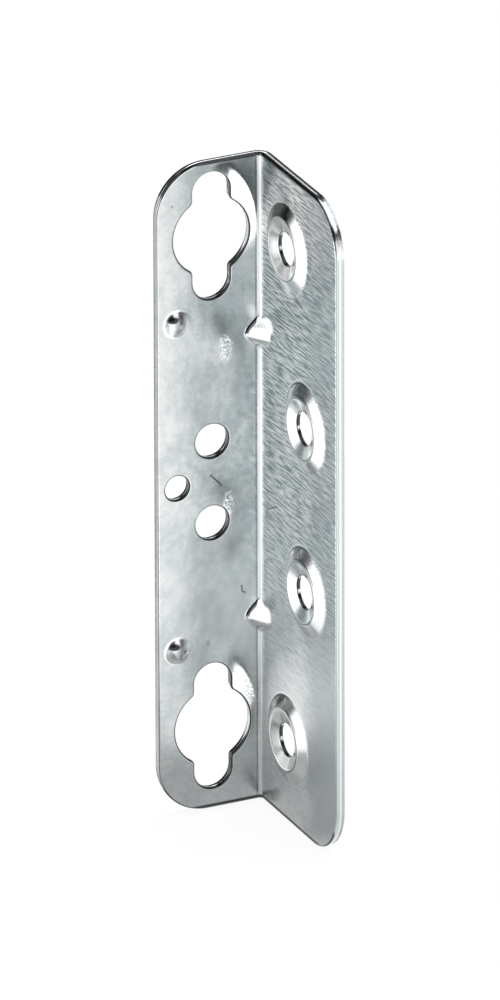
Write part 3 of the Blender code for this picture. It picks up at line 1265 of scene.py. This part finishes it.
        # Paler: pressed forms, leaning cut walls and streak ridges, and the painted glints, glare,
        # highlights and highlight rings.
        paling = highest([
            zones.pressed * self.strengths.pressed, zones.glint * self.strengths.glint, zones.glare,
            ridge, leaning, zones.bend, zones.blob, self.pip_ring_highlights(zones).high(seat_highlight) * zones.face,
        ])
        colour = graph.mix_colour(paling, colour, self.bright)
        # Darker: painted shade round the seats, along the edges and on the face, with the scratches,
        # smudges and torn band.
        seats = (seat_shade * zones.face).high(slit * cut.rise(0.1, 0.4))
        darkness = highest([seats, self.edge_shade(zones, shape), self.face_shade(zones)])
        return graph.mix_colour(darkness.low(1.0), colour, self.dark)

    def edge_shade(self, zones: Zones, shape: Blank) -> Value:
        """Darken the rolled edges, the torn band, the walls of the holes and both ends of the sheet; the
        dark lines along the rolled edges, along both ends and on the hook flange's edge wall are painted
        shade.

        Args:
            zones: the place and its regions.
            shape: the blank, whose edges are marked.

        Returns:
            A value from 0 to 1.
        """
        level, cut, top, bottom = zones.level, zones.cut, shape.top, shape.bottom
        hook_side, rail_side, strong = zones.hook_side, zones.rail_side, self.strengths
        # Painted shade: dark lines along the rolled front edges, fainter along the outer edges of both
        # flanges.
        sides = strong.rolled_edge - hook_side * 0.4 - rail_side * 0.88
        line = cut.rise(0.04, 0.3) * cut.rise(1.0, 0.8) * sides
        tearing = zones.torn * zones.grain.rise(0.64, 0.36) * (0.4 + hook_side * 0.4 - rail_side * 0.25)
        # Painted shade: dark bands along both ends of the sheet.
        foot = level.rise(bottom + 0.95 * MM, bottom + 0.6 * MM)
        head = level.rise(top - 0.62 * MM, top - 0.42 * MM)
        above_foot = level.rise(bottom + 1.5 * MM, bottom + 2.0 * MM)
        below_head = level.rise(top - 1.5 * MM, top - 2.0 * MM)
        holes = above_foot * below_head * (1 - hook_side) * zones.across.rise_mm(-2.0, -3.0)
        bore = holes * cut.rise(0.85, 1.0) * zones.blotch.rise(0.70, 0.56)
        return highest([
            line, tearing, foot.high(head) * zones.face * strong.sheet_end, bore * strong.bore,
            # Painted shade on the wall of the hook flange's outer edge.
            hook_side * cut.rise(0.9, 1.0) * strong.hook_edge,
        ])

    def face_shade(self, zones: Zones) -> Value:
        """Darken the scratches and smudge marks of the inner face, and paint shade into the pips, beside
        the gussets, at the start of the bend, at the lower end of the fold and over the rail flange's top
        and outer half.

        Args:
            zones: the place and its regions.

        Returns:
            A value from 0 to 1.
        """
        across, face, strong = zones.across, zones.face, self.strengths
        scars = highest(scar.mask(zones) for scar in self.scars()) * face
        # Smudge marks, with painted shade at the lower end of the fold.
        smudge = self.smudges(zones) * (0.35 + zones.cloud.rise(0.3, 0.7) * 0.8) * face
        # Painted shade: the pips' floors and wedges, the rail flange's top and the hollows beside the
        # gussets.
        ovals = self.marks(zones, Mark.PIP).high(self.marks(zones, Mark.SHADED))
        hollows = ovals.high(self.gusset_shade(zones))
        # Painted shade in the line where the hook flange turns into the bend.
        crease = across.rise_mm(-0.5, -0.25) * across.rise_mm(0.1, -0.1) * zones.unpressed * face
        # Painted shade over the rail flange's outer half.
        outer_rail_shade = zones.shaded_outer_rail * zones.unpressed * zones.flat
        return highest([
            scars * strong.scar, smudge.low(strong.smudge), hollows * face, crease * strong.crease,
            outer_rail_shade * strong.outer_rail_shade,
        ])

    def roughness(self, zones: Zones) -> Value:
        """Roughen the plating where it is clouded, torn or worn, and smooth it where it is pressed.

        Args:
            zones: the place and its regions.

        Returns:
            The roughness.
        """
        low_on_rail = zones.on_rail * zones.unpressed * zones.level.rise_mm(-8.0, -40.0)
        return (self.flat_roughness + (zones.cloud - 0.5) * self.cloud_roughness
                + zones.on_rail * self.rail_roughness + low_on_rail * self.low_rail_roughness
                + zones.bend * self.bend_roughness - zones.cut.rise(0.8, 1.0) * self.wall_polish
                + (self.pressed_roughness - self.flat_roughness) * zones.pressed
                + (self.torn_roughness - self.flat_roughness) * zones.torn)

    def normal(self, zones: Zones) -> bpy.types.NodeSocket:
        """Roll streaks, grain and waves into the surface, and tilt it under the painted glare, glints and
        gusset highlights.

        Args:
            zones: the place and its regions.

        Returns:
            The normal.
        """
        graph = zones.graph
        height = ((zones.streak - 0.5) * self.streak_bump * zones.streaked
                  + (zones.grain - 0.5) * (self.grain_bump + zones.torn * self.torn_bump)
                  + (zones.blotch - 0.5) * self.blotch_bump * zones.face
                  + (zones.waves - 0.5) * self.wave_bump * zones.unpressed)
        bump = graph.node("ShaderNodeBump", {}, {"Strength": 1.0, "Distance": 1.0 * MM, "Height": height})
        # Tilt the surface under the painted glare, glints and gusset highlights.
        lean = zones.glare.high(zones.glint * 0.5)
        lift = lean * (zones.level.rise_mm(-18.0, -24.0) * 0.16 - 0.05)
        tilt = graph.node("ShaderNodeCombineXYZ", {},
                          {0: lean * self.glare_tilt, 1: zones.blob * self.blob_tilt, 2: lift})
        tilted = graph.node("ShaderNodeVectorMath", {"operation": "ADD"},
                            {0: bump.outputs[0], 1: tilt.outputs[0]})
        unit = graph.node("ShaderNodeVectorMath", {"operation": "NORMALIZE"}, {0: tilted.outputs[0]})
        return unit.outputs[0]

    def streaks(self, spot: Spot, size: float) -> Value:
        """Roll short marks across the blank.

        Args:
            spot: the place.
            size: size of the marks, as a share of the usual ones.

        Returns:
            Noise around 0.5.
        """
        x = spot.across / (size * self.streak_length)
        y = spot.level / (size * self.streak_width)
        place = spot.graph.node("ShaderNodeCombineXYZ", {}, {0: x, 1: y, 2: 0.0})
        return spot.graph.noise(place.outputs[0], 1.0)

    def patches(self, mark: Mark) -> list[Patch]:
        """Place the ovals of one kind of mark.

        Args:
            mark: the kind.

        Returns:
            The ovals.
        """
        hook, rail = self.hook, self.rail
        row, pitch = self.layout.guide_row / MM, self.layout.pitch / MM
        ovals = {
            Mark.GLINT: [(hook(8.7, 25.6), 2.0, 3.4), (hook(8.2, -4.8), 1.4, 3.4)],
            Mark.BLOB: [(rail(4.9, 29.9), 2.8, 2.0), (rail(4.6, -26.4), 1.5, 1.2, 0.7)],
            Mark.GLARE_CORE: [(hook(5.2, -41.0), 3.6, 6.8)],
            Mark.SHADED: [(rail(8.0, 56.0), 8.0, 9.0, 0.5)],
            Mark.SMUDGE: [(hook(9.0, 60.6), 2.9, 1.5, 0.75), (hook(19.2, 55.0), 0.3, 0.3, 0.8),
                          (hook(12.4, -31.5), 0.5, 0.7, 0.35)],
            Mark.PIP: [(hook(row, pitch), 2.1, 2.1, 0.4), (hook(row + 0.8, pitch + 1.0), 1.5, 0.8),
                       (hook(row, -pitch), 2.1, 2.1, 0.4), (hook(row + 0.8, 1.0 - pitch), 1.5, 0.8)],
        }
        return [Patch(place, wide * MM, high * MM, *strength)
                for place, wide, high, *strength in ovals[mark]]

    def marks(self, spot: Spot, mark: Mark) -> Value:
        """How far a place belongs to one kind of mark, from 0 to 1."""
        return highest(patch.mask(spot) for patch in self.patches(mark))

    def scars(self) -> list[Scar]:
        """Place the scratches.

        Returns:
            The scratches that show.
        """
        hook, rail = self.hook, self.rail
        bent = [hook(5.7, -21.4), hook(5.6, -22.6), hook(5.0, -22.9)]
        long = [rail(3.9, -7.9), rail(4.6, -6.0), rail(8.5, -4.1)]
        ends = [*zip(bent, bent[1:]), *zip(long, long[1:])]
        return [Scar(hook(11.8, 1.4), hook(9.7, -0.9))] + [Scar(*pair, 0.2 * MM) for pair in ends]

    def smudges(self, spot: Spot) -> Value:
        """Smudge the hook flange, and paint shade along the lower end of the fold.

        Args:
            spot: the place.

        Returns:
            A value from 0 to 1.
        """
        # Painted shade: a dark band rising from the lower end of the fold across the rail flange.
        start = self.rail(2.0, -63.6)
        x = spot.across - start[0]
        off_line = spot.level - start[1] - x * 0.42
        width = 1.0 * MM + x * 0.12
        band = (1.0 - off_line * off_line / (width * width)).rise(0.0, 0.9)
        along = x.rise_mm(-0.4, 0.6) * x.rise_mm(9.5, 1.5)
        return self.marks(spot, Mark.SMUDGE).high(band * along)

    def glare(self, spot: Spot) -> Value:
        """Find the painted glare beside the keyholes, on the side of the fold, where the colour is made
        pale and the surface tilted.

        Args:
            spot: the place.

        Returns:
            A value from 0 to 1.
        """
        pitch = self.layout.pitch
        upper = spot.level.over(0.0)
        above = spot.level + 1.5 * pitch - upper * (3.0 * pitch)
        beside = spot.across - self.fold.on_hook(self.layout.key_row)
        wide = beside / (9.5 * MM)
        tall = above / (14.0 * MM)
        inside = (wide * wide + tall * tall).root().rise(1.0, 0.92) * beside.rise_mm(3.0, 4.2)
        window = above.rise_mm(-6.0, 1.0) * above.rise_mm(14.0, 12.0)
        core = self.marks(spot, Mark.GLARE_CORE) * (0.52 + spot.speckle * 0.35)
        return inside * window * upper.high(core)

    def seat_light_and_shade(self, spot: Spot) -> tuple[Value, Value, Value]:
        """Paint the shade and highlights round the screw seats: dark flanks, rim and foot lines, a bright
        ring outside the foot and a dark line in the hole's wall.

        Args:
            spot: the place.

        Returns:
            How dark and how bright a place on the face is, and how dark the hole's wall is, from 0 to 1.
        """
        shape, strong = self.layout, self.strengths
        upper = spot.level.over(0.0)
        near_x = spot.across - self.fold.on_rail(shape.near_seat_row)
        far_x = spot.across - self.fold.on_rail(shape.far_seat_row)
        is_near = abs(spot.level).over(shape.pitch)
        x = far_x + (near_x - far_x) * is_near
        y = (abs(spot.level) - shape.pitch / 2 - is_near * shape.pitch) * (upper * 2 - 1)
        radius = (x * x + y * y).root()
        up = y / radius.high(0.1 * MM)
        foldward = x * -1.0 / radius.high(0.1 * MM)

        def ring(start: float, whole: float, fading: float, end: float) -> Value:
            """A ring between four radii in millimetres, from its first trace to its last."""
            return radius.rise(start * MM, whole * MM) * radius.rise(end * MM, fading * MM)

        flank = ring(5.9, 6.2, 8.2, 8.5)
        rim = ring(5.5, 5.7, 5.85, 6.1)
        foot = ring(7.95, 8.15, 8.3, 8.5)
        corner = up * 0.8 + foldward * 0.6
        highest_seat = is_near * upper
        # Strength of the painted shade on the upper flanks: patchy, and strongest on the top seat.
        mottle = 0.3 + spot.blotch.rise(0.35, 0.65) * 0.5 + highest_seat * 0.6
        # Painted shade on the upper and lower flanks, along the rim and the foot, on the flank towards
        # the fold and inside the rim.
        shade = highest([
            flank * (corner + highest_seat * 0.15).rise(0.6, 0.95) * mottle,
            flank * up.rise(-0.5, -0.9) * (0.25 + spot.cloud * 0.2),
            rim * strong.seat_rim,
            foot * corner.rise(0.5, 0.9) * strong.seat_foot,
            flank * foldward.rise(0.5, 0.9) * strong.seat_flank,
            flank * radius.rise_mm(6.5, 6.2) * up.rise(0.3, 0.7) * strong.seat_hollow,
        ])
        # Painted shade: a dark line in the wall of the hole.
        slit = up.rise(0.62, 0.5) * up.rise(-0.28, -0.16) * foldward.over(0.0)
        slit = slit.high(up.rise(-0.36, -0.48))
        # Painted highlight: a bright ring outside the foot on the upper side.
        highlight_ring = ring(8.4, 8.55, 8.75, 9.0) * up.rise(0.0, 0.7)
        return shade, highlight_ring * strong.seat_highlight, slit * radius.rise_mm(3.9, 3.7) * strong.slit

    def gusset_shade(self, spot: Spot) -> Value:
        """Paint shade into the hollow where each gusset's upper side leaves the hook flange.

        Args:
            spot: the place.

        Returns:
            A value from 0 to 1.
        """
        side = spot.level.over(0.0) * 2 - 1
        above = (abs(spot.level) - self.layout.gusset_level) * side
        edge = spot.raised.rise(0.02, 0.08) * spot.raised.rise(0.8, 0.45)
        hollow = spot.across.over(-8.0 * MM) * spot.across.rise_mm(0.5, 0.1)
        return edge * above.rise_mm(-0.2, 0.3) * hollow * self.strengths.gusset

    def pip_ring_highlights(self, spot: Spot) -> Value:
        """Paint highlight rings round the pips.

        Args:
            spot: the place.

        Returns:
            A value from 0 to 1.
        """
        x = spot.across - self.fold.on_hook(self.layout.guide_row)
        y = abs(spot.level) - self.layout.pitch
        distance = (x * x + y * y).root()
        radius = self.layout.pip_width / 2
        return distance.rise(0.86 * radius, 0.97 * radius) * distance.rise(1.16 * radius, 1.05 * radius)


@dataclass(frozen=True)
class StudioFloor:
    """A plain white floor whose shadow stays."""

    colour: Colour = (0.94, 0.94, 0.94, 1.0)
    lift: float = 0.90

    def build(self) -> bpy.types.Material:
        """Build the material.

        Returns:
            The floor's finish.
        """
        material, graph = new_material("studio_floor")
        seen = seen_by_camera(graph)
        matt = graph.node("ShaderNodeBsdfDiffuse", {}, {"Color": self.colour})
        white = graph.node("ShaderNodeEmission", {}, {"Color": WHITE, "Strength": 1.0})
        mixed = graph.node("ShaderNodeMixShader", {},
                           {0: seen * self.lift, 1: matt.outputs[0], 2: white.outputs[0]})
        graph.node("ShaderNodeOutputMaterial", {}, {"Surface": mixed.outputs[0]})
        return material


def seen_by_camera(graph: Graph) -> Value:
    """1 for rays from the camera, also by way of metal or glass."""
    rays = graph.node("ShaderNodeLightPath").outputs
    return highest(Value(graph, rays[f"Is {kind} Ray"]) for kind in ("Camera", "Glossy", "Transmission"))


@dataclass
class Bracket:
    """The whole bracket, from the flat blank to the dressed piece."""

    fold: Fold
    layout: Layout
    press: Press
    finish: ZincPlate

    def build(self) -> bpy.types.Object:
        """Cut, press, fold and dress the bracket.

        Returns:
            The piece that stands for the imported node.
        """
        low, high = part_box(NODE)
        blank = Blank(self.fold, self.layout, hook_width=-low[0], rail_width=high[1] - low[1],
                      top=high[2], bottom=low[2])
        sizes = self.press.sizes(self.fold, self.layout, high[1])
        flat = blank.build("flat_blank")
        piece = self.press.run(flat, sizes, self.finish.build(blank), "pressed_bracket")
        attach(piece, BODY)
        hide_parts(NODE)
        return piece


@dataclass(frozen=True)
class Lamp:
    """One soft lamp."""

    name: str
    place: Point
    width: float
    height: float
    brightness: float
    mirrored: bool = True
    tint: Point = (1.0, 1.0, 1.0)

    def build(self) -> None:
        """Hang the lamp and aim it at the bracket."""
        data = bpy.data.lights.new(self.name, "AREA")
        data.shape = "RECTANGLE"
        data.size = self.width
        data.size_y = self.height
        data.energy = self.brightness * math.pi * self.width * self.height
        data.color = self.tint
        item = new_object(self.name, data)
        item.location = self.place
        item.rotation_mode = "QUATERNION"
        item.rotation_quaternion = (-Vector(self.place)).to_track_quat("-Z", "Y")
        item.visible_camera = False
        item.visible_glossy = self.mirrored


@dataclass(frozen=True)
class Reflector:
    """A pale board on the floor that only the metal's reflections see.

    It is part of a ring round the fold, and it fades out towards its edges.
    """

    name: str
    start: float
    end: float
    near: float
    far: float
    brightness: float
    tint: Point = (1.0, 1.0, 1.0)
    side_fade: float = 8.0
    near_fade: float = 0.03
    far_fade: float = 0.03
    steps: int = 24

    def build(self, centre: Place, level: float) -> None:
        """Lay the board.

        Args:
            centre: x and y of the fold.
            level: the board's height.
        """
        turns = np.radians(np.linspace(self.start, self.end, self.steps + 1))
        radii = np.linspace(self.near, self.far, self.steps + 1)
        angle, radius = np.meshgrid(turns, radii)
        x = centre[0] + radius * np.cos(angle)
        y = centre[1] + radius * np.sin(angle)
        z = np.full(x.shape, level)
        row = self.steps + 1
        faces = [(i * row + j, i * row + j + 1, (i + 1) * row + j + 1, (i + 1) * row + j)
                 for i in range(self.steps) for j in range(self.steps)]
        mesh = bpy.data.meshes.new(self.name)
        mesh.from_pydata(np.stack([x, y, z], axis=-1).reshape(-1, 3).tolist(), [], faces)
        sides = np.degrees(np.minimum(angle - turns[0], turns[-1] - angle)) / self.side_fade
        depth = np.minimum((radius - self.near) / self.near_fade, (self.far - radius) / self.far_fade)
        fade = mesh.attributes.new("fade", "FLOAT", "POINT")
        fade.data.foreach_set("value", np.clip(np.minimum(sides, depth), 0, 1).ravel().astype(np.float32))
        mesh.materials.append(self.glow())
        item = new_object(self.name, mesh)
        item.visible_camera = False
        item.visible_diffuse = False
        item.visible_shadow = False

    def glow(self) -> bpy.types.Material:
        """Build the board's surface, clear at its edges.

        Returns:
            The finish.
        """
        material, graph = new_material(self.name)
        fade = graph.attribute("fade")
        clear = graph.node("ShaderNodeBsdfTransparent")
        glow = graph.node("ShaderNodeEmission", {},
                          {"Color": (*self.tint, 1.0), "Strength": self.brightness})
        mixed = graph.node("ShaderNodeMixShader", {}, {0: fade, 1: clear.outputs[0], 2: glow.outputs[0]})
        graph.node("ShaderNodeOutputMaterial", {}, {"Surface": mixed.outputs[0]})
        return material


@dataclass(frozen=True)
class Glow:
    """A glow along the horizon in one direction, as the metal sees it."""

    toward: Place
    edge: Place
    height: Place
    brightness: float

    def at(self, x: Value, y: Value, height: Value) -> Value:
        """How bright the glow is in a direction, given by its three parts."""
        facing = x * self.toward[0] + y * self.toward[1]
        return facing.rise(*self.edge) * height.rise(*self.height) * self.brightness


@dataclass
class Studio:
    """Floor, lamps, boards and surroundings."""

    level: float
    fold_place: Place
    floor_size: float = 6.0
    board_gap: float = 0.05 * MM
    lamps: tuple[Lamp, ...] = (
        Lamp("overhead_fill", (0.1, 0.0, 1.4), 1.6, 1.6, 2.0, mirrored=False),
        Lamp("front_right_softbox", (0.24, -0.40, 0.08), 0.40, 0.30, 1.3, tint=(1.0, 0.97, 0.95)),
        Lamp("upper_right_softbox", (0.30, 0.02, 0.52), 0.70, 0.60, 1.6),
        Lamp("left_softbox", (-0.36, 0.02, 0.26), 0.42, 0.62, 1.7),
    )
    reflectors: tuple[Reflector, ...] = (
        Reflector("left_board", 134.0, 216.0, 0.022, 2.6, 1.75, side_fade=20.0, near_fade=0.02),
        Reflector("back_board", 36.0, 96.0, 0.4, 2.9, 2.5, near_fade=0.2, far_fade=0.1),
        Reflector("behind_board", 98.0, 134.0, 0.03, 2.5, 0.70, near_fade=0.02, far_fade=0.4),
        Reflector("front_left_far_board", 218.0, 258.0, 0.17, 2.9, 0.38, tint=(0.86, 1.0, 1.02),
                  near_fade=0.10, far_fade=0.10),
        Reflector("front_left_mid_board", 220.0, 258.0, 0.05, 0.27, 0.88, tint=(0.93, 1.0, 1.01),
                  near_fade=0.09, far_fade=0.08),
        Reflector("front_strip", 254.0, 282.0, 0.05, 0.60, 2.0, side_fade=5.0, near_fade=0.05),
        Reflector("front_right_board", 280.0, 330.0, 0.06, 0.45, 1.15, tint=(1.0, 0.98, 0.97),
                  near_fade=0.08, far_fade=0.08),
        Reflector("near_left_board", 190.0, 258.0, 0.0, 0.11, 0.44, side_fade=5.0, near_fade=0.0005,
                  far_fade=0.06),
        Reflector("near_right_board", 270.0, 338.0, 0.0, 0.12, 0.83, side_fade=5.0, near_fade=0.0005,
                  far_fade=0.08),
        Reflector("inner_board", 100.0, 270.0, 0.0, 0.034, 0.48, near_fade=0.0005, far_fade=0.014),
    )
    glows: tuple[Glow, ...] = (
        Glow((0.6, 0.8), (-0.1, 0.5), (0.14, 0.0), 0.4),
        Glow((0.40, 0.917), (0.975, 0.99), (0.17, 0.1), 1.6),
        Glow((-0.98, 0.2), (0.86, 0.95), (0.32, 0.2), 1.5),
    )
    ceiling: float = 0.02
    horizon: float = 0.08
    horizon_height: float = 0.14
    ambient: float = 0.25

    def build(self) -> None:
        """Lay the floor, hang the lamps, lay the boards and set the surroundings."""
        half = self.floor_size / 2
        corners = [(-half, -half), (half, -half), (half, half), (-half, half)]
        mesh = bpy.data.meshes.new("floor")
        mesh.from_pydata([(x, y, self.level) for x, y in corners], [], [(0, 1, 2, 3)])
        mesh.materials.append(StudioFloor().build())
        floor = new_object("floor", mesh)
        LOG.info("floor: %.1f m wide", self.floor_size)
        for lamp in self.lamps:
            lamp.build()
            LOG.info("%s: %.2f x %.2f m", lamp.name, lamp.width, lamp.height)
        for number, reflector in enumerate(self.reflectors, 1):
            reflector.build(self.fold_place, self.level + number * self.board_gap)
            LOG.info("%s: %.0f to %.0f degrees", reflector.name, reflector.start, reflector.end)
        self.surroundings()

    def surroundings(self) -> None:
        """White for the camera, and for the metal a glow along the horizon under a dark ceiling."""
        world = bpy.data.worlds.new("studio")
        world.use_nodes = True
        bpy.context.scene.world = world
        graph = Graph(world.node_tree)
        camera = graph.value("ShaderNodeLightPath", output="Is Camera Ray")
        seen = seen_by_camera(graph)
        x, y, height = graph.split(graph.node("ShaderNodeTexCoord").outputs["Generated"])
        tent = self.ceiling + height.rise(self.horizon_height, 0.0) * self.horizon
        for glow in self.glows:
            tent = tent + glow.at(x, y, height)
        strength = camera.high(seen * tent).high((1 - seen) * self.ambient)
        back = graph.node("ShaderNodeBackground", {}, {"Color": WHITE, "Strength": strength})
        graph.node("ShaderNodeOutputWorld", {}, {"Surface": back.outputs[0]})


@dataclass(frozen=True)
class Viewpoint:
    """The photograph's camera, found from the bracket's edges and holes."""

    corner: Point = (-1.8 * MM, 14.8 * MM, 0.0)
    distance: float = 3.6
    yaw: float = math.radians(25.152)
    pitch: float = math.radians(23.758)
    roll: float = math.radians(0.152)
    aside: float = 1.961 * MM
    above: float = 4.915 * MM
    focal_pixels: float = 20043.6
    image_height: float = 1000.0
    sensor: float = 36.0
    nearest: float = 0.1
    farthest: float = 50.0

    def build(self) -> None:
        """Set up the camera."""
        level_ahead = Vector((math.sin(self.yaw), math.cos(self.yaw), 0.0))
        ahead = level_ahead * math.cos(self.pitch) - Vector((0.0, 0.0, math.sin(self.pitch)))
        level_right = Vector((math.cos(self.yaw), -math.sin(self.yaw), 0.0))
        level_up = level_right.cross(ahead)
        right = level_right * math.cos(self.roll) - level_up * math.sin(self.roll)
        up = level_right * math.sin(self.roll) + level_up * math.cos(self.roll)
        target = Vector(self.corner) - right * self.aside - up * self.above
        place = target - ahead * self.distance
        data = bpy.data.cameras.new("camera")
        data.sensor_width = self.sensor
        data.lens = self.focal_pixels * self.sensor / self.image_height
        data.clip_start = self.nearest
        data.clip_end = self.farthest
        item = new_object("camera", data)
        item.matrix_world = Matrix((
            (right.x, up.x, -ahead.x, place.x),
            (right.y, up.y, -ahead.y, place.y),
            (right.z, up.z, -ahead.z, place.z),
            (0.0, 0.0, 0.0, 1.0),
        ))
        bpy.context.scene.camera = item


def main() -> None:
    """Build the bracket, the studio and the camera."""
    logging.basicConfig(level=logging.INFO, format="%(name)s: %(message)s")
    bpy.context.scene.view_settings.view_transform = "Standard"
    Viewpoint().build()
    fold, layout = Fold(), Layout()
    bracket = Bracket(fold, layout, Press(), ZincPlate(fold, layout)).build()
    LOG.info("%s: %d faces", bracket.name, len(bracket.data.polygons))
    low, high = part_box(NODE)
    Studio(level=low[2], fold_place=(high[0], high[1])).build()
    bpy.context.view_layer.update()


if __name__ == "__main__":
    main()
